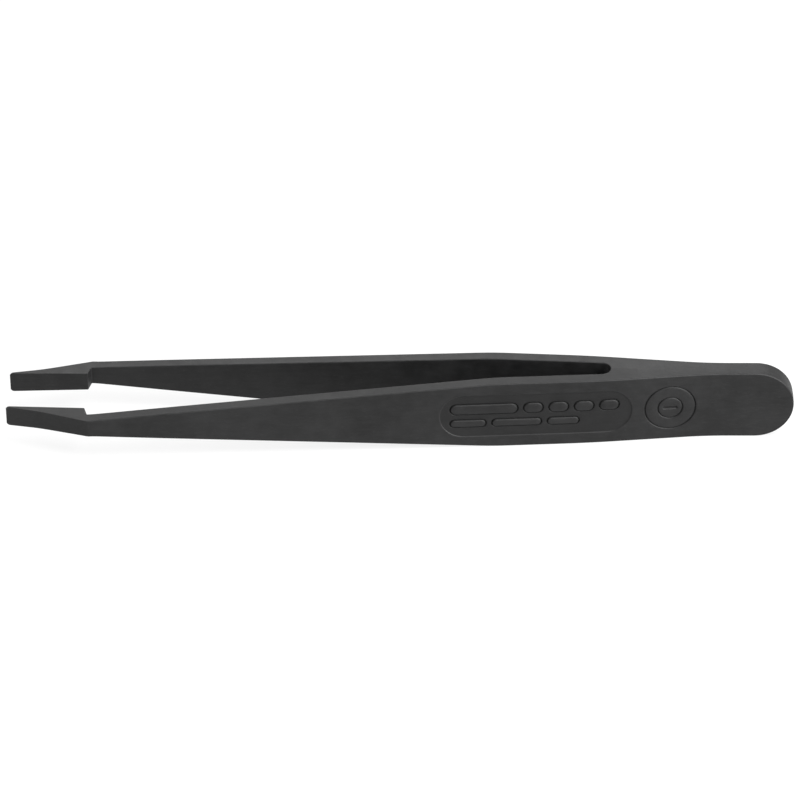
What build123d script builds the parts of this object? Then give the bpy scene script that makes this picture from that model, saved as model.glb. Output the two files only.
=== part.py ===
"""One-piece moulded plastic tweezers, split into the zones that flex against each other.

Frame: +X runs from the jaw tips to the tail, Y is the opening direction (front arm at -Y, rear arm at
+Y) and +Z is up, across the width. The origin is under the middle of the part, on the surface that its
long edges stand on. Sizes are in millimetres. A "station" is a distance from the jaw tips along X.
"""

import math
import os

from build123d import *

# Overall size
LENGTH = 115.0
WIDTH = 11.2
TAIL_THICKNESS = 3.0

# Outer faces: distance from the middle plane at each station
TIP_OUTER = 4.30
JAW_KNEE_STATION = 4.9
JAW_KNEE_OUTER = 5.32
BEND_STATION = 12.0
BEND_OUTER = 7.53
ROOT_KNEE_STATION = 86.0
ROOT_KNEE_OUTER = 3.27
TAIL_FLAT_STATION = 102.3
JAW_KNEE_RADIUS = 30.0
BEND_RADIUS = 1.5
ROOT_KNEE_RADIUS = 150.0
TAIL_FLAT_RADIUS = 60.0

# Inner faces: distance from the middle plane at each station
TIP_GAP = 4.05
HEEL_STATION = 11.43
HEEL_GAP = 4.24
STEP_STATION = 11.88
STEP_GAP = 5.80
SLOT_END_STATION = 86.70
SLOT_END_RADIUS = 1.37

# Plan outline: half of the width at each station
TIP_HALF_WIDTH = 1.62
WAIST_HALF_WIDTH = 1.44
SHOULDER_STATION = 71.0
SHOULDER_RADIUS = 60.0
TIP_CORNER_RADIUS = 0.55

# Rounding of the long edges behind the jaws
EDGE_RADIUS = 0.25

# Blank marking panel on the front arm: a round-ended recess that leaves two rows of plain bars standing,
# each with a narrow groove round it
PANEL_START = 63.1
PANEL_END = 91.3
PANEL_HEIGHT = 7.4
PANEL_DEPTH = 0.12
BAR_START = 64.8
BAR_GAP = 1.1
UPPER_BARS = [9.6, 2.6, 2.6, 2.6, 2.6]
UPPER_BAR_HEIGHT = 1.5
UPPER_BAR_RISE = 1.15
LOWER_BARS = [5.0, 7.0, 4.4]
LOWER_BAR_HEIGHT = 1.0
LOWER_BAR_RISE = -1.35
BAR_GROOVE_WIDTH = 0.26
BAR_GROOVE_DEPTH = 0.30

# Blank round mark between the panel and the tail: two ring grooves round a straight slot
RING_STATION = 96.86
OUTER_RING_RADIUS = 3.7
INNER_RING_RADIUS = 1.8
RING_GROOVE_WIDTH = 0.26
RING_DEPTH = 0.18
MARK_SLOT_LENGTH = 2.2

# Stations where one zone ends and the next begins
JAW_END = 12.5
NOSE_END = 36.0
GRIP_END = 62.0
FLEX_STATION = 77.0
ROOT_END = 92.0
BLOCK_END = 106.0


def at(station, y=0.0, z=0.0):
    """Point of the part's frame for a station measured from the jaw tips."""
    return (station - LENGTH / 2, y, z)


def outer_line():
    """Outer face of the rear arm from jaw tip to tail, seen along Z, as straight runs and tangent arcs."""
    corners = [
        at(0, TIP_OUTER),
        at(JAW_KNEE_STATION, JAW_KNEE_OUTER),
        at(BEND_STATION, BEND_OUTER),
        at(ROOT_KNEE_STATION, ROOT_KNEE_OUTER),
        at(TAIL_FLAT_STATION, TAIL_THICKNESS / 2),
        at(LENGTH, TAIL_THICKNESS / 2),
    ]
    radii = [JAW_KNEE_RADIUS, BEND_RADIUS, ROOT_KNEE_RADIUS, TAIL_FLAT_RADIUS]
    return FilletPolyline(*corners, radius=radii)


def gap_face():
    """Open space between the jaws and between the arms, seen along Z, ending in the round slot end."""
    tilt = math.atan2(STEP_GAP - SLOT_END_RADIUS, SLOT_END_STATION - STEP_STATION)
    touch_station = SLOT_END_STATION + SLOT_END_RADIUS * math.sin(tilt)
    touch_gap = SLOT_END_RADIUS * math.cos(tilt)
    rear = [
        at(-1, TIP_GAP),
        at(0, TIP_GAP),
        at(HEEL_STATION, HEEL_GAP),
        at(STEP_STATION, STEP_GAP),
        at(touch_station, touch_gap),
    ]
    front = [(x, -y, z) for x, y, z in reversed(rear)]
    wedge = make_face(Polyline(*rear, *front, close=True))
    slot_end = Pos(*at(SLOT_END_STATION)) * Circle(SLOT_END_RADIUS)
    return wedge + slot_end


def side_face():
    """The whole part seen along Z: both arms, their jaws and the tail."""
    rear = outer_line()
    front = mirror(rear, Plane.XZ)
    outline = rear + front + Line(rear @ 0, front @ 0) + Line(rear @ 1, front @ 1)
    return make_face(outline) - gap_face()


def plan_face():
    """The whole part seen along Y: flared jaw tips, narrow waist, taper, parallel sides and round tail."""
    half = WIDTH / 2
    top = [
        at(LENGTH - half, WIDTH),
        at(SHOULDER_STATION, WIDTH),
        at(BEND_STATION, half + WAIST_HALF_WIDTH),
        at(0, half + TIP_HALF_WIDTH),
    ]
    bottom = [(x, WIDTH - z, 0) for x, z, _ in reversed(top)]
    tip_corner = TIP_CORNER_RADIUS
    radii = [SHOULDER_RADIUS, 0, tip_corner, tip_corner, 0, SHOULDER_RADIUS]
    sides = FilletPolyline(*top, *bottom, radius=radii)
    tail = ThreePointArc(bottom[-1], at(LENGTH, half), top[0])
    return Plane.XZ * make_face(sides + tail)


def on_front(sketch):
    """A sketch drawn in station and height, stood up as a prism from the middle plane out to the front."""
    placed = Plane((-LENGTH / 2, 0, WIDTH / 2), x_dir=(1, 0, 0), z_dir=(0, -1, 0)) * sketch
    return extrude(placed, WIDTH)


def bar_row(lengths, height, rise, margin):
    """A row of plain round-ended bars, left to right, each made larger all round by a margin."""
    bars = []
    start = BAR_START
    for length in lengths:
        bar = SlotOverall(length + 2 * margin, height + 2 * margin)
        bars.append(Pos(start + length / 2, rise) * bar)
        start += length + BAR_GAP
    return bars


def both_rows(margin=0):
    """Both rows of bars, each bar made larger all round by a margin."""
    upper = bar_row(UPPER_BARS, UPPER_BAR_HEIGHT, UPPER_BAR_RISE, margin)
    lower = bar_row(LOWER_BARS, LOWER_BAR_HEIGHT, LOWER_BAR_RISE, margin)
    return Sketch() + upper + lower


def panel_sketch():
    """The recessed ground of the marking panel, around its bars and their grooves."""
    length = PANEL_END - PANEL_START
    panel = Pos(PANEL_START + length / 2, 0) * SlotOverall(length, PANEL_HEIGHT)
    return panel - both_rows(BAR_GROOVE_WIDTH)


def bar_groove_sketch():
    """The narrow groove round each bar."""
    return both_rows(BAR_GROOVE_WIDTH) - both_rows()


def ring_sketch():
    """The two ring grooves of the round mark and the slot inside them."""
    half_groove = RING_GROOVE_WIDTH / 2
    mark = SlotOverall(MARK_SLOT_LENGTH, 2 * RING_GROOVE_WIDTH)
    for radius in (OUTER_RING_RADIUS, INNER_RING_RADIUS):
        mark += Circle(radius + half_groove) - Circle(radius - half_groove)
    return Pos(RING_STATION, 0) * mark


def engraved(body, sketch, depth):
    """The body with a sketch sunk into its front outer face, to an even depth that follows the face."""
    below = Pos(0, depth, 0) * body
    return body - (on_front(sketch) - below)


def moulding():
    """The whole one-piece part, before it is split into zones."""
    side = extrude(side_face(), WIDTH)
    plan = extrude(plan_face(), LENGTH, both=True)
    return side & plan


def zone(body, start, end, side=0):
    """The stretch of the body between two stations: both arms, or only the one on a side (-1 or +1)."""
    middle = at((start + end) / 2, side * WIDTH / 2, WIDTH / 2)
    reach = WIDTH if side else 2 * WIDTH
    return body & Pos(*middle) * Box(end - start, reach, 2 * WIDTH)


def long_edges(piece):
    """Outside edges of a zone that run along the part or round its tail.

    Edges across the width and edges on the middle plane, where two zones meet, are left sharp.
    """
    chosen = []
    for edge in piece.edges():
        box = edge.bounding_box()
        along = box.size.X > 2 * EDGE_RADIUS
        on_middle = max(abs(box.min.Y), abs(box.max.Y)) < EDGE_RADIUS
        if along and not on_middle:
            chosen.append(edge)
    return chosen


def zones(body):
    """Every named zone as its own solid."""
    pieces = {
        "root_block": zone(body, ROOT_END, BLOCK_END),
        "tail_end": zone(body, BLOCK_END, LENGTH),
    }
    for name, side in (("front", -1), ("rear", 1)):
        pieces[name + "_jaw"] = zone(body, 0, JAW_END, side)
        pieces[name + "_nose"] = zone(body, JAW_END, NOSE_END, side)
        pieces[name + "_finger_grip"] = zone(body, NOSE_END, GRIP_END, side)
        pieces[name + "_spring_leaf"] = zone(body, GRIP_END, FLEX_STATION, side)
        pieces[name + "_spring_root"] = zone(body, FLEX_STATION, ROOT_END, side)
    return pieces


def main():
    """Writes one STEP file per zone."""
    os.makedirs("parts", exist_ok=True)
    for name, piece in zones(moulding()).items():
        if not name.endswith("jaw"):
            piece = fillet(long_edges(piece), EDGE_RADIUS)
        if name.startswith("front_spring"):
            piece = engraved(piece, panel_sketch(), PANEL_DEPTH)
            piece = engraved(piece, bar_groove_sketch(), BAR_GROOVE_DEPTH)
        if name == "root_block":
            piece = engraved(piece, ring_sketch(), RING_DEPTH)
        piece.label = name
        export_step(piece, os.path.join("parts", name + ".step"))


main()
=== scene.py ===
"""Looks of the one-piece moulded tweezers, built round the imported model.

Lengths are in millimetres until a mesh is made. A "station" is a distance from the jaw tips along X, and a
height is measured up and down from the middle of the width.
"""

import math
from collections import Counter

import bmesh
import bpy
import numpy as np
from mathutils import Matrix, Vector
from mathutils.geometry import delaunay_2d_cdt


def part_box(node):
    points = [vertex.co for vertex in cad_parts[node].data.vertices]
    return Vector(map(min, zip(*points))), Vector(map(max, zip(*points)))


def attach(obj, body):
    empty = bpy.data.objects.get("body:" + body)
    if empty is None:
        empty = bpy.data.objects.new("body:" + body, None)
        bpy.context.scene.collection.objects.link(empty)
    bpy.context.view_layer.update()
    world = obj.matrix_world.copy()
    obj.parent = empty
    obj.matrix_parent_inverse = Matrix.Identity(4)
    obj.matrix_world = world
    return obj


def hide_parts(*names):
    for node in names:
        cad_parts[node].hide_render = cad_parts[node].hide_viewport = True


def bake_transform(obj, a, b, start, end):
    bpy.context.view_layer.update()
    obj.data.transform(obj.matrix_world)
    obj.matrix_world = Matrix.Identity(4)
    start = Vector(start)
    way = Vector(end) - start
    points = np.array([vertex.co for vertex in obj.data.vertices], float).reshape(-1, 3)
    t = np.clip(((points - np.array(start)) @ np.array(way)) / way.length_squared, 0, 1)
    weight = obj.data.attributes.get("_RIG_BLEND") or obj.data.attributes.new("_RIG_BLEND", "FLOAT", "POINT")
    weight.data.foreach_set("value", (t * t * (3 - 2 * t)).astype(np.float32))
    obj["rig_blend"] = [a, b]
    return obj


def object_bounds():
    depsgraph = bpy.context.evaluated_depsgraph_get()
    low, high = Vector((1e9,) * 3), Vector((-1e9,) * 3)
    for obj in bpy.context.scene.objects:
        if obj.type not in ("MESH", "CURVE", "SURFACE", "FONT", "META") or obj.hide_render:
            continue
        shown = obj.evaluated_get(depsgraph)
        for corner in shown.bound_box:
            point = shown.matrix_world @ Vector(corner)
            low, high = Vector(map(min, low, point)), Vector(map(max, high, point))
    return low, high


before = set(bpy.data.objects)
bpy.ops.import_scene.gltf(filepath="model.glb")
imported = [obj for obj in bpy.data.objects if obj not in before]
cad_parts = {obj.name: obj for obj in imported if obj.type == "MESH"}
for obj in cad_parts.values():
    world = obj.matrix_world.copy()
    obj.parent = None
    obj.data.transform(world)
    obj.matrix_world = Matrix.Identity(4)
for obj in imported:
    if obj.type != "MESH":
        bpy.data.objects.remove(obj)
cad_low, cad_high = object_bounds()

MM = 0.001
LENGTH = (cad_high.x - cad_low.x) / MM
WIDTH = (cad_high.z - cad_low.z) / MM


def seam_after(node):
    """Station where a CAD node ends, towards the tail."""
    return (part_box(node)[1].x - cad_low.x) / MM


# Stations where one piece ends and the next begins
JAW_END = seam_after("front_jaw")
NOSE_END = seam_after("front_nose")
GRIP_END = seam_after("front_finger_grip")
ROOT_END = seam_after("front_spring_root")
BLOCK_END = seam_after("root_block")

# Outer faces: distance from the middle plane at each station
TAIL_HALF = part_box("tail_end")[1].y / MM
OUTER_CORNERS = [(0, 4.30), (4.9, 5.32), (12.0, 7.53), (86.0, 3.27), (102.3, TAIL_HALF), (LENGTH, TAIL_HALF)]
OUTER_RADII = [30.0, 1.5, 150.0, 60.0]

# Inner faces: distance from the middle plane at each station, up to the slot's round end
HEEL = (11.43, 4.24)
STEP = (11.88, 5.80)
TIP_GAP = 4.05
SLOT_END_STATION = 86.70
SLOT_END_RADIUS = 1.37
HEEL_RADIUS = 0.12
STEP_RADIUS = 0.15

# Plan outline: half of the width at each station
TIP_HALF_WIDTH = 1.62
WAIST_HALF_WIDTH = 1.44
WAIST_STATION = 12.0
WAIST_RADIUS = 20.0
SHOULDER_STATION = 71.0
SHOULDER_RADIUS = 60.0
TIP_CORNER_RADIUS = 0.55
TAIL_CENTRE = LENGTH - WIDTH / 2

# Draft: how far a side face draws in for each millimetre from the part's widest line, and the stations where
# that line leaves the jaw, has reached the arm, and starts to close on the middle plane
DRAFT = 0.025
JAW_PARTING_END = 12.0
ARM_PARTING_START = 26.0
ARM_PARTING_END = 80.0

# Rounding of the edges, and the stations between which the jaw's small edges grow into the arm's
TIP_ROUND = 0.07
JAW_EDGE = 0.07
ARM_OUTER_EDGE = 0.16
ARM_INNER_EDGE = 0.13
JAW_EDGE_END = 11.9
ARM_EDGE_START = 13.2

# Station behind which a spring leaf no longer bends
FLEX_END = 88.0

# Blank marking panel and round mark on the front
PANEL_START = 63.1
PANEL_LENGTH = 28.2
PANEL_HEIGHT = 7.4
PANEL_DEPTH = 0.12
BAR_START = 64.8
BAR_GAP = 1.1
UPPER_BARS = [9.6, 2.6, 2.6, 2.6, 2.6]
UPPER_BAR_HEIGHT = 1.5
UPPER_BAR_RISE = 1.15
LOWER_BARS = [5.0, 7.0, 4.4]
LOWER_BAR_HEIGHT = 1.0
LOWER_BAR_RISE = -1.35
BAR_GROOVE_WIDTH = 0.26
BAR_GROOVE_DEPTH = 0.30
RING_STATION = 96.86
RING_RADII = [3.7, 1.8]
RING_GROOVE_WIDTH = 0.26
RING_DEPTH = 0.18
MARK_SLOT_LENGTH = 2.2

# Cross-section of a recess's wall: distance into the recess, share of its depth
WALL = [(-0.05, 0.0), (0.0, 0.08), (0.05, 0.5), (0.1, 0.92), (0.15, 1.0)]
GROOVE_WALL = [(-0.05, 0.0), (0.0, 0.08), (0.05, 0.8), (0.09, 1.0)]

# Fineness of the meshes
STATION_STEP = 1.5
LEAST_STEP = 0.006
EDGE_STEPS = 4
TIP_CORNER_STEPS = 6
TIP_ROUND_STEPS = 4
SLOT_STEPS = 12
TAIL_STEPS = 36
LOOP_SPACING = 0.22
GRID_STEP = 0.75
GRID_CLEARANCE = 0.3
SHARP_ANGLE = math.radians(60)

# Stage, in metres
FLOOR_REACH = 3.0
LIGHT_DISTANCE = 0.7
LIGHT_SIZE = 0.45
CAMERA_DISTANCE = 0.657


# ---------------------------------------------------------------- profiles

def rounded_path(corners, radii, steps=7):
    """Points of a line whose inner corners are replaced by tangent arcs."""
    path = [np.array(corners[0], float)]
    for i, radius in enumerate(radii, start=1):
        corner = np.array(corners[i], float)
        back = np.array(corners[i - 1], float) - corner
        ahead = np.array(corners[i + 1], float) - corner
        back /= np.linalg.norm(back)
        ahead /= np.linalg.norm(ahead)
        half_angle = math.acos(float(np.clip(back @ ahead, -1, 1))) / 2
        middle = (back + ahead) / np.linalg.norm(back + ahead)
        centre = corner + middle * radius / math.sin(half_angle)
        first = corner + back * radius / math.tan(half_angle) - centre
        last = corner + ahead * radius / math.tan(half_angle) - centre
        turn = math.atan2(first[0] * last[1] - first[1] * last[0], first @ last)
        for k in range(steps + 1):
            a = turn * k / steps
            c, s = math.cos(a), math.sin(a)
            path.append(centre + np.array([c * first[0] - s * first[1], s * first[0] + c * first[1]]))
    path.append(np.array(corners[-1], float))
    return np.array(path)


slot_tilt = math.atan2(STEP[1] - SLOT_END_RADIUS, SLOT_END_STATION - STEP[0])
slot_touch = (SLOT_END_STATION + SLOT_END_RADIUS * math.sin(slot_tilt), SLOT_END_RADIUS * math.cos(slot_tilt))
slot_apex = SLOT_END_STATION + SLOT_END_RADIUS

outer_path = rounded_path(OUTER_CORNERS, OUTER_RADII)
inner_path = rounded_path([(0, TIP_GAP), HEEL, STEP, slot_touch], [HEEL_RADIUS, STEP_RADIUS])
width_path = rounded_path(
    [
        (0, TIP_HALF_WIDTH),
        (WAIST_STATION, WAIST_HALF_WIDTH),
        (SHOULDER_STATION, WIDTH / 2),
        (LENGTH, WIDTH / 2),
    ],
    [WAIST_RADIUS, SHOULDER_RADIUS],
)


def smooth(value, low, high):
    """Eases from 0 to 1 while a value goes from low to high."""
    t = min(max((value - low) / (high - low), 0), 1)
    return t * t * (3 - 2 * t)


def round_off(station, radius):
    """How far a surface falls back near the jaw tip, where it rounds over into the end face."""
    if station >= radius:
        return 0.0
    return radius - math.sqrt(radius**2 - (radius - max(station, 0)) ** 2)


def outer(station):
    """Distance of the outer face from the middle plane."""
    return float(np.interp(station, *outer_path.T)) - round_off(station, TIP_ROUND)


def inner(station):
    """Distance of the inner face from the middle plane."""
    return float(np.interp(station, *inner_path.T)) + round_off(station, TIP_ROUND)


def parting(station):
    """Distance from the middle plane where the part is widest, and its sides start to draw in."""
    on_arm = STEP[1] + (slot_touch[1] - STEP[1]) * (station - STEP[0]) / (slot_touch[0] - STEP[0])
    on_jaw = TIP_GAP + (HEEL[1] - TIP_GAP) * min(station / HEEL[0], 1)
    to_arm = smooth(station, JAW_PARTING_END, ARM_PARTING_START)
    to_tail = smooth(station, ARM_PARTING_END, ROOT_END)
    return (on_jaw * (1 - to_arm) + on_arm * to_arm) * (1 - to_tail)


def half_width(station, y):
    """Height of the side face above the middle of the width, at a distance from the middle plane."""
    plan = float(np.interp(station, *width_path.T)) - round_off(station, TIP_CORNER_RADIUS)
    return plan - DRAFT * max(abs(y) - parting(station), 0)


def inward(profile, station, material_side):
    """Unit vector into the material at a point of a profile."""
    reach = 0.004
    rise = (profile(station + reach) - profile(station - reach)) / (2 * reach)
    return np.array([-rise, 1.0]) * material_side / math.hypot(rise, 1)


def edge_radius(station, on_arm):
    """Radius of a long edge, given the radius that it has on the arm."""
    return JAW_EDGE + (on_arm - JAW_EDGE) * smooth(station, JAW_EDGE_END, ARM_EDGE_START)


# ---------------------------------------------------------------- sections

def long_edge(base, into, radius):
    """Points round one long edge, from the wall up to the side face: (station, y, height, wear)."""
    end = base + into * radius
    top = half_width(end[0], end[1])
    points = []
    for i in range(EDGE_STEPS + 1):
        turn = math.pi / 2 * i / EDGE_STEPS
        plan = base + into * radius * (1 - math.cos(turn))
        wear_and_recess_shade = 1.0 if 0 < i < EDGE_STEPS else 0.0
        points.append((plan[0], plan[1], top - radius * (1 - math.sin(turn)), wear_and_recess_shade))
    return points


def outer_edge(station):
    """The outer long edge from the wall up to the side face."""
    base = np.array([station, outer(station)])
    return long_edge(base, inward(outer, station, -1), edge_radius(station, ARM_OUTER_EDGE))


def inner_edge(base, into):
    """The inner long edge from the side face down to the wall."""
    return long_edge(np.array(base), into, edge_radius(base[0], ARM_INNER_EDGE))[::-1]


def closed_ring(upper, flat_at=None):
    """A whole section from its upper half, laid flat on one station where a piece ends."""
    lower = [(s, y, -z, wear_and_recess_shade) for s, y, z, wear_and_recess_shade in reversed(upper)]
    ring = upper + lower
    if flat_at is not None:
        ring = [(flat_at, y, z, wear_and_recess_shade) for _, y, z, wear_and_recess_shade in ring]
    return ring


def round_stations(radius, steps):
    """Stations from the jaw tip that split a quarter round there into even turns."""
    return [radius * (1 - math.cos(math.pi / 2 * k / steps)) for k in range(steps + 1)]


def piece_stations(start, end):
    """Stations for a piece's sections: every bend of the profiles, even steps, and its two ends."""
    tip = round_stations(TIP_CORNER_RADIUS, TIP_CORNER_STEPS) + round_stations(TIP_ROUND, TIP_ROUND_STEPS)
    steps = [k * STATION_STEP for k in range(int(LENGTH / STATION_STEP))]
    found = sorted([*outer_path[:, 0], *inner_path[:, 0], *width_path[:, 0], *tip, *steps])
    kept = [start]
    for station in found:
        if kept[-1] + LEAST_STEP < station < end - LEAST_STEP:
            kept.append(station)
    return kept + [end]


def arm_rings(start, end):
    """Sections of the rear arm. Past the slot's round end they close on the middle plane."""
    rings = []
    clearance = 0.02
    for station in piece_stations(start, end):
        if slot_touch[0] < station < slot_apex + ARM_INNER_EDGE + clearance:
            continue
        flat_at = station if station in (start, end) else None
        if station <= slot_touch[0]:
            inside = inner_edge((station, inner(station)), inward(inner, station, 1))
        else:
            inside = [(station, 0.0, half_width(station, 0), 0.0)] * (EDGE_STEPS + 1)
        rings.append((station, closed_ring(outer_edge(station) + inside, flat_at)))
    if end > slot_apex:
        for k in range(1, SLOT_STEPS + 1):
            turn = slot_tilt + (math.pi / 2 - slot_tilt) * k / SLOT_STEPS
            into = np.array([math.sin(turn), math.cos(turn)])
            base = np.array([SLOT_END_STATION, 0.0]) + SLOT_END_RADIUS * into
            rings.append((base[0], closed_ring(outer_edge(base[0]) + inner_edge(base, into))))
    return [ring for _, ring in sorted(rings, key=lambda r: r[0])]


def solid_half(station):
    """Upper half of a section through both sides, rear wall to front wall, with the parting line between."""
    rear = outer_edge(station)
    front = [(s, -y, z, wear_and_recess_shade) for s, y, z, wear_and_recess_shade in reversed(rear)]
    return rear + [(station, 0.0, half_width(station, 0), 0.5)] + front


def solid_rings(start, end):
    """Sections through both sides, where the part is solid."""
    return [
        closed_ring(solid_half(s), s if s in (start, end) else None) for s in piece_stations(start, end)
    ]


# ---------------------------------------------------------------- skins

class Skin:
    """Points and faces of one closed piece, before it becomes a mesh."""

    def __init__(self):
        self.points = []
        self.faces = []

    def add(self, points):
        """Adds points and gives their indices."""
        first = len(self.points)
        self.points += points
        return list(range(first, len(self.points)))

    def strips(self, rings, closed, skip=None):
        """Quads between neighbouring rings of indices, leaving out the strip that starts at skip."""
        count = len(rings[0])
        for a, b in zip(rings, rings[1:]):
            for i in range(count if closed else count - 1):
                if i != skip:
                    j = (i + 1) % count
                    self.faces.append((a[i], a[j], b[j], b[i]))

    def mirrored(self):
        """The same piece on the other side of the middle plane."""
        self.points = [(s, -y, z, wear_and_recess_shade) for s, y, z, wear_and_recess_shade in self.points]
        return self


def capsule_distance(point, centre, length, height):
    """Distance from a point to a round-ended outline, negative inside it."""
    reach = (length - height) / 2
    along = min(max(point[0] - centre[0], -reach), reach)
    return math.hypot(point[0] - centre[0] - along, point[1] - centre[1]) - height / 2


def capsule_loop(centre, length, height, spacing):
    """Points round a round-ended outline."""
    reach, radius = (length - height) / 2, height / 2
    arc = max(int(math.pi * radius / spacing), 10)
    run = max(int(2 * reach / spacing), 1)
    points = []
    for sign in (1, -1):
        for k in range(arc + 1):
            a = math.pi * k / arc - math.pi / 2
            across = radius * math.cos(a)
            points.append((centre[0] + sign * (reach + across), centre[1] + sign * radius * math.sin(a)))
        if reach > 0:
            for k in range(1, run):
                points.append((centre[0] + sign * (reach - 2 * reach * k / run), centre[1] + sign * radius))
    return points if reach > 0 else points[:arc] + points[arc + 1:-1]


def recess(centre, length, height, depth, wall=WALL, raised=False, base=0.0):
    """A round-ended recess sunk from the base depth, or with raised a land left standing in one."""
    return {
        "centre": centre, "length": length, "height": height,
        "depth": depth, "wall": wall, "raised": raised, "base": base,
    }


def bars(lengths, height, rise):
    """A row of bars, each a groove sunk in the panel with a land standing in it."""
    made = []
    start = BAR_START
    margin = 2 * BAR_GROOVE_WIDTH
    for length in lengths:
        centre = (start + length / 2, rise)
        groove = (centre, length + margin, height + margin, BAR_GROOVE_DEPTH, GROOVE_WALL)
        made.append(recess(*groove, base=PANEL_DEPTH))
        made.append(recess(centre, length, height, BAR_GROOVE_DEPTH, GROOVE_WALL, raised=True))
        start += length + BAR_GAP
    return made


def panel_marks():
    """The sunken panel with its two rows of bars."""
    panel = recess((PANEL_START + PANEL_LENGTH / 2, 0), PANEL_LENGTH, PANEL_HEIGHT, PANEL_DEPTH)
    upper = bars(UPPER_BARS, UPPER_BAR_HEIGHT, UPPER_BAR_RISE)
    lower = bars(LOWER_BARS, LOWER_BAR_HEIGHT, LOWER_BAR_RISE)
    return [panel] + upper + lower


def ring_marks():
    """Two ring grooves, each a round recess with a round land standing in it, and a short slot."""
    centre = (RING_STATION, 0)
    marks = []
    for radius in RING_RADII:
        outside = 2 * radius + RING_GROOVE_WIDTH
        inside = 2 * radius - RING_GROOVE_WIDTH
        marks.append(recess(centre, outside, outside, RING_DEPTH, GROOVE_WALL))
        marks.append(recess(centre, inside, inside, RING_DEPTH, GROOVE_WALL, raised=True))
    return marks + [recess(centre, MARK_SLOT_LENGTH, 2 * RING_GROOVE_WIDTH, RING_DEPTH, GROOVE_WALL)]


def without_slivers(triangles, border):
    """Leaves out the hair-thin triangles outside a nearly straight border.

    They are the ones with a side that no other triangle shares and that isn't part of the border.
    """
    outline = {frozenset(pair) for pair in zip(border, border[1:] + border[:1])}
    while True:
        sides = [[frozenset((t[i], t[i - 1])) for i in range(3)] for t in triangles]
        uses = Counter(side for three in sides for side in three)
        kept = [t for t, three in zip(triangles, sides) if all(uses[s] == 2 or s in outline for s in three)]
        if len(kept) == len(triangles):
            return kept
        triangles = kept


def painted_recess_shade(depth):
    """Painted shade of a sunken place, kept as negative wear: from 0 on the open face to -1 in a groove,
    where nothing rubs.
    """
    return -depth / BAR_GROOVE_DEPTH


def relief_wall(skin, upper, lower, marks):
    """Fills the front wall between its two long edges, with the marks sunk into it."""
    border = upper + lower[::-1]
    flat = [(skin.points[i][0], skin.points[i][2]) for i in border]
    depths = [0.0] * len(flat)
    wear_and_shade_levels = [0.0] * len(flat)
    edges = []
    for mark in marks:
        way = 1 if mark["raised"] else -1
        for offset, share in mark["wall"]:
            grow = 2 * way * offset
            loop = capsule_loop(mark["centre"], mark["length"] + grow, mark["height"] + grow, LOOP_SPACING)
            first = len(flat)
            flat += loop
            depth = mark["base"] + share * (mark["depth"] - mark["base"])
            rubbed = offset == 0 and mark["wall"] is WALL
            depths += [depth] * len(loop)
            # The panel's rubbed lip is worn; every other loop gets painted shade by its depth
            wear_and_shade_levels += [1.0 if rubbed else painted_recess_shade(depth)] * len(loop)
            edges += [(first + k, first + (k + 1) % len(loop)) for k in range(len(loop))]
    stations = [p[0] for p in flat[:len(border)]]
    rows = int(WIDTH / 2 / GRID_STEP)
    station = min(stations) + GRID_STEP
    while station < max(stations) - GRID_CLEARANCE:
        reach = outer_edge(station)[0][2] - GRID_CLEARANCE
        for row in range(-rows, rows + 1):
            spot = (station, row * GRID_STEP)
            gaps = [capsule_distance(spot, m["centre"], m["length"], m["height"]) for m in marks]
            if abs(spot[1]) < reach and all(abs(gap) > GRID_CLEARANCE for gap in gaps):
                depth = 0.0
                for mark, gap in zip(marks, gaps):
                    if gap < 0:
                        depth = 0.0 if mark["raised"] else mark["depth"]
                flat.append(spot)
                depths.append(depth)
                # Grid points inside recesses get painted shade by their depth
                wear_and_shade_levels.append(painted_recess_shade(depth))
        station += GRID_STEP
    points = [Vector(p) for p in flat]
    outline = [list(range(len(border)))]
    only_inside, same_point = 1, 1e-5
    spots, _, triangles, came_from, _, _ = delaunay_2d_cdt(
        points, edges, outline, only_inside, same_point, True
    )
    index = []
    for spot, sources in zip(spots, came_from):
        source = min(sources) if sources else None
        if source is not None and source < len(border):
            index.append(border[source])
            continue
        depth = depths[source] if source is not None else 0.0
        wear_and_recess_shade = wear_and_shade_levels[source] if source is not None else 0.0
        index += skin.add([(spot[0], -(outer(spot[0]) - depth), spot[1], wear_and_recess_shade)])
    skin.faces += without_slivers([tuple(index[i] for i in triangle) for triangle in triangles], border)


def arm_skin(start, end, side, marks=()):
    """A stretch of one arm, on the front with a side of -1 and on the rear with +1."""
    skin = Skin()
    rings = [skin.add(ring) for ring in arm_rings(start, end)]
    outer_wall = len(rings[0]) - 1
    skin.strips(rings, closed=True, skip=outer_wall if marks else None)
    skin.faces += [tuple(rings[0]), tuple(rings[-1])]
    if side < 0:
        skin.mirrored()
    if marks:
        relief_wall(skin, [ring[0] for ring in rings], [ring[-1] for ring in rings], marks)
    return skin


def block_skin(start, end, marks):
    """A stretch of the solid part behind the slot, with marks on its front."""
    skin = Skin()
    rings = [skin.add(ring) for ring in solid_rings(start, end)]
    upper = len(rings[0]) // 2 - 1
    skin.strips(rings, closed=True, skip=upper)
    skin.faces += [tuple(rings[0]), tuple(rings[-1])]
    relief_wall(skin, [ring[upper] for ring in rings], [ring[upper + 1] for ring in rings], marks)
    return skin


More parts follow.
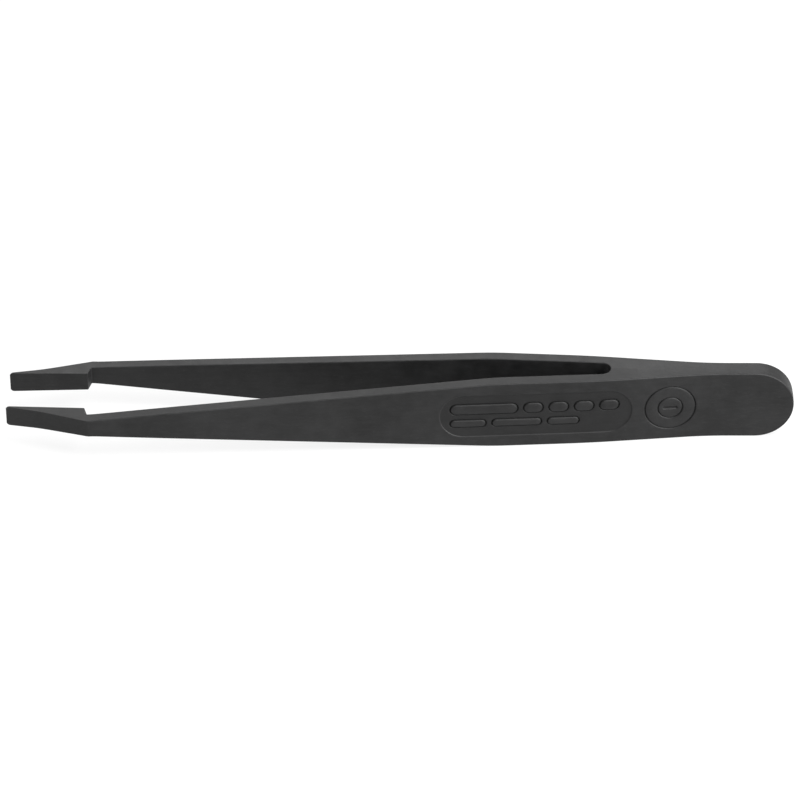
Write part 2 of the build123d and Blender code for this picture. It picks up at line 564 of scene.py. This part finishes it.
def tail_skin(start):
    """The flat tail, and its round end as half a turn of the same section."""
    skin = Skin()
    rings = [skin.add(ring) for ring in solid_rings(start, TAIL_CENTRE)]
    skin.strips(rings, closed=True)
    skin.faces.append(tuple(rings[0]))
    profile = solid_half(TAIL_CENTRE)
    fan = []
    for k in range(TAIL_STEPS + 1):
        a = math.pi * k / TAIL_STEPS
        fan.append(skin.add([
            (TAIL_CENTRE + z * math.sin(a), y, z * math.cos(a), wear_and_recess_shade) for _, y, z, wear_and_recess_shade in profile
        ]))
    skin.strips(fan, closed=False)
    skin.faces += [tuple(ring[0] for ring in fan), tuple(ring[-1] for ring in fan)]
    return skin


def mark_sharp(bm):
    """Sharp where faces meet at a steep angle, and along both sides of each rounded edge."""
    wear_and_recess_shade = bm.verts.layers.float["edge_wear_and_recess_shade"]
    rounded = {face: any(vert[wear_and_recess_shade] > 0.9 for vert in face.verts) for face in bm.faces}
    for edge in bm.edges:
        first, second = edge.link_faces
        steep = edge.calc_face_angle(0) > SHARP_ANGLE
        edge.smooth = not (steep or rounded[first] != rounded[second])


def build(name, skin, material):
    """Makes the mesh object of a skin, with its resting place and edge wear kept as attributes; the wear
    attribute also holds the painted shade of sunken places.
    """
    mesh = bpy.data.meshes.new(name)
    places = [Vector(((s - LENGTH / 2) * MM, y * MM, (z + WIDTH / 2) * MM)) for s, y, z, _ in skin.points]
    mesh.from_pydata(places, [], skin.faces)
    rest = mesh.attributes.new("rest", "FLOAT_VECTOR", "POINT")
    rest.data.foreach_set("vector", [c for s, y, z, _ in skin.points for c in (s, y, z)])
    wear_and_recess_shade = mesh.attributes.new("edge_wear_and_recess_shade", "FLOAT", "POINT")
    wear_and_recess_shade.data.foreach_set("value", [point[3] for point in skin.points])
    bm = bmesh.new()
    bm.from_mesh(mesh)
    bmesh.ops.remove_doubles(bm, verts=bm.verts, dist=2e-7)
    bmesh.ops.recalc_face_normals(bm, faces=bm.faces)
    for face in bm.faces:
        face.smooth = True
    mark_sharp(bm)
    bm.to_mesh(mesh)
    bm.free()
    obj = bpy.data.objects.new(name, mesh)
    bpy.context.scene.collection.objects.link(obj)
    obj.data.materials.append(material)
    even = obj.modifiers.new("even_normals", "WEIGHTED_NORMAL")
    even.keep_sharp = True
    return obj


# ---------------------------------------------------------------- material

def filled_plastic():
    """Matt black plastic with short carbon fibres: cloudy colour, flow streaks, fine grain, worn edges, and
    painted shade darkening its grooves and sunken panel.
    """
    material = bpy.data.materials.new("filled_plastic")
    material.use_nodes = True
    nodes, links = material.node_tree.nodes, material.node_tree.links
    shader = nodes["Principled BSDF"]
    shader.inputs["Specular IOR Level"].default_value = 0.30
    shader.inputs["IOR"].default_value = 1.5

    def attribute(name, output):
        node = nodes.new("ShaderNodeAttribute")
        node.attribute_name = name
        return node.outputs[output]

    def noise(vector, scale, detail, stretch=(1, 1, 1), offset=(0, 0, 0)):
        """Noise with about scale features to a millimetre."""
        place = nodes.new("ShaderNodeMapping")
        place.inputs["Scale"].default_value = stretch
        place.inputs["Location"].default_value = offset
        links.new(vector, place.inputs["Vector"])
        node = nodes.new("ShaderNodeTexNoise")
        node.inputs["Scale"].default_value = scale
        node.inputs["Detail"].default_value = detail
        links.new(place.outputs["Vector"], node.inputs["Vector"])
        return node.outputs["Fac"]

    def ranged(value, low, high, to_low, to_high):
        node = nodes.new("ShaderNodeMapRange")
        for name, number in (("From Min", low), ("From Max", high), ("To Min", to_low), ("To Max", to_high)):
            node.inputs[name].default_value = number
        links.new(value, node.inputs["Value"])
        return node.outputs["Result"]

    def combine(operation, a, b):
        node = nodes.new("ShaderNodeMath")
        node.operation = operation
        for socket, value in zip(node.inputs, (a, b)):
            if isinstance(value, (int, float)):
                socket.default_value = value
            else:
                links.new(value, socket)
        return node.outputs["Value"]

    place = attribute("rest", "Vector")
    wear_and_recess_shade = attribute("edge_wear_and_recess_shade", "Fac")
    # Painted shade: how deep a place is sunk, taken from the negative part of the wear attribute; it darkens
    # the colour below and also roughens the surface
    recess_shade = combine("MAXIMUM", combine("MULTIPLY", wear_and_recess_shade, -1), 0)
    clouds = noise(place, 0.09, 3)
    patches = noise(place, 0.6, 4, offset=(3.1, 7.7, 1.3))
    flow = noise(place, 1.0, 3, stretch=(0.35, 2.2, 2.2))
    fibres = noise(place, 5.0, 2, stretch=(0.3, 1.6, 1.6), offset=(9.2, 4.1, 5.5))
    grain = noise(place, 7.0, 3, offset=(1.7, 2.9, 8.3))
    nicks = noise(place, 2.4, 2, offset=(6.6, 0.4, 3.9))

    tone = combine("ADD", ranged(clouds, 0.35, 0.65, 0.7, 1.3), ranged(patches, 0.3, 0.7, -0.3, 0.3))
    tone = combine("ADD", tone, ranged(flow, 0.35, 0.65, -0.15, 0.15))
    tone = combine("ADD", tone, ranged(fibres, 0.55, 0.75, 0.0, 0.7))
    worn = combine("MULTIPLY", combine("MAXIMUM", wear_and_recess_shade, 0), ranged(nicks, 0.4, 0.62, 0.25, 1.0))
    tone = combine("ADD", tone, combine("MULTIPLY", worn, 0.5))
    # Painted shade: the colour falls to a tenth in the grooves, and part of the way on the panel's sunken
    # ground
    tone = combine("MULTIPLY", tone, ranged(recess_shade, 0, 1, 1, 0.1))
    ramp = nodes.new("ShaderNodeMix")
    ramp.data_type = "RGBA"
    ramp.inputs["A"].default_value = (0.0, 0.0, 0.0, 1)
    ramp.inputs["B"].default_value = (0.020, 0.020, 0.0204, 1)
    links.new(combine("DIVIDE", tone, 3), ramp.inputs["Factor"])
    links.new(ramp.outputs["Result"], shader.inputs["Base Color"])

    rough = combine("ADD", ranged(patches, 0.3, 0.7, 0.50, 0.60), ranged(grain, 0.3, 0.7, -0.03, 0.03))
    rough = combine("SUBTRACT", rough, combine("MULTIPLY", worn, 0.04))
    rough = combine("ADD", rough, combine("MULTIPLY", recess_shade, 0.15))
    links.new(rough, shader.inputs["Roughness"])

    height = combine("ADD", combine("MULTIPLY", grain, 0.6), combine("MULTIPLY", fibres, 0.4))
    height = combine("ADD", height, combine("MULTIPLY", flow, 0.8))
    bump = nodes.new("ShaderNodeBump")
    bump.inputs["Strength"].default_value = 0.35
    bump.inputs["Distance"].default_value = 0.012 * MM
    links.new(height, bump.inputs["Height"])
    links.new(bump.outputs["Normal"], shader.inputs["Normal"])
    return material


# ---------------------------------------------------------------- pieces

plastic = filled_plastic()


def make_piece(node_names, skin, body):
    """A rigid piece that stands for its CAD nodes and rides on their body."""
    piece = build(node_names[0] + "_skin", skin, plastic)
    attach(piece, body)
    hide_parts(*node_names)
    return piece


def make_spring(name, skin, body):
    """A flexing leaf: it follows the tail at its root and the arm at its outer end, and bends between."""
    piece = build(name + "_spring_skin", skin, plastic)
    start = ((FLEX_END - LENGTH / 2) * MM, 0, WIDTH / 2 * MM)
    end = ((GRIP_END - LENGTH / 2) * MM, 0, WIDTH / 2 * MM)
    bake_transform(piece, "tail", body, start=start, end=end)
    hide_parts(name + "_spring_leaf", name + "_spring_root")
    return piece


for name, side in (("front", -1), ("rear", 1)):
    arm = name + "_arm"
    make_piece([name + "_jaw"], arm_skin(0, JAW_END, side), arm)
    make_piece([name + "_nose"], arm_skin(JAW_END, NOSE_END, side), arm)
    make_piece([name + "_finger_grip"], arm_skin(NOSE_END, GRIP_END, side), arm)
    marks = panel_marks() if side < 0 else ()
    make_spring(name, arm_skin(GRIP_END, ROOT_END, side, marks), arm)

make_piece(["root_block"], block_skin(ROOT_END, BLOCK_END, ring_marks()), "tail")
make_piece(["tail_end"], tail_skin(BLOCK_END), "tail")


# ---------------------------------------------------------------- stage, light and camera

def pale_floor():
    """A plain white table that glows evenly from inside, so that hardly any shadow shows on it."""
    mesh = bpy.data.meshes.new("floor")
    corners = [(FLOOR_REACH * x, FLOOR_REACH * y, 0) for x, y in ((-1, -1), (1, -1), (1, 1), (-1, 1))]
    mesh.from_pydata(corners, [], [(0, 1, 2, 3)])
    floor = bpy.data.objects.new("floor", mesh)
    bpy.context.scene.collection.objects.link(floor)
    material = bpy.data.materials.new("floor_paint")
    material.use_nodes = True
    shader = material.node_tree.nodes["Principled BSDF"]
    shader.inputs["Base Color"].default_value = (0.12, 0.12, 0.12, 1)
    shader.inputs["Emission Color"].default_value = (1, 1, 1, 1)
    shader.inputs["Emission Strength"].default_value = 0.82
    shader.inputs["Roughness"].default_value = 1.0
    shader.inputs["Specular IOR Level"].default_value = 0.0
    mesh.materials.append(material)


def soft_light(name, turn, height, watts):
    """A square soft box that points at the middle of the part.

    Its turn is in degrees from the front towards the tail, its height in degrees above the floor.
    """
    light = bpy.data.lights.new(name, "AREA")
    light.size = LIGHT_SIZE
    light.energy = watts
    lamp = bpy.data.objects.new(name, light)
    turn, height = math.radians(turn), math.radians(height)
    flat = math.cos(height)
    away = Vector((math.sin(turn) * flat, -math.cos(turn) * flat, math.sin(height)))
    lamp.location = away * LIGHT_DISTANCE
    lamp.rotation_mode = "QUATERNION"
    lamp.rotation_quaternion = away.to_track_quat("Z", "Y")
    bpy.context.scene.collection.objects.link(lamp)


def even_world():
    """White light from all round."""
    world = bpy.data.worlds.new("studio")
    world.use_nodes = True
    background = world.node_tree.nodes["Background"]
    background.inputs["Color"].default_value = (1, 1, 1, 1)
    background.inputs["Strength"].default_value = 0.5
    bpy.context.scene.world = world


def photo_camera():
    """A long lens in front of the part and raised above it, aimed close to its middle."""
    elevation = math.radians(36)
    roll = math.radians(0.06)
    left, below = 0.12, 0.18
    target = Vector((-left * MM, 0, (WIDTH / 2 - below) * MM))
    back = Vector((0, -math.cos(elevation), math.sin(elevation)))
    camera = bpy.data.cameras.new("camera")
    camera.lens = 201.8
    camera.sensor_width = 36
    camera.clip_start = 0.05
    camera.clip_end = 20
    rig = bpy.data.objects.new("camera", camera)
    turn = (-back).to_track_quat("-Z", "Y").to_matrix().to_4x4() @ Matrix.Rotation(roll, 4, "Z")
    rig.matrix_world = Matrix.Translation(target + back * CAMERA_DISTANCE) @ turn
    bpy.context.scene.collection.objects.link(rig)
    bpy.context.scene.camera = rig


pale_floor()
soft_light("key", 60, 60, 8.7)
soft_light("fill", 60, 20, 7.0)
soft_light("back", 180, 25, 2.1)
even_world()
bpy.context.scene.view_settings.view_transform = "Standard"
photo_camera()
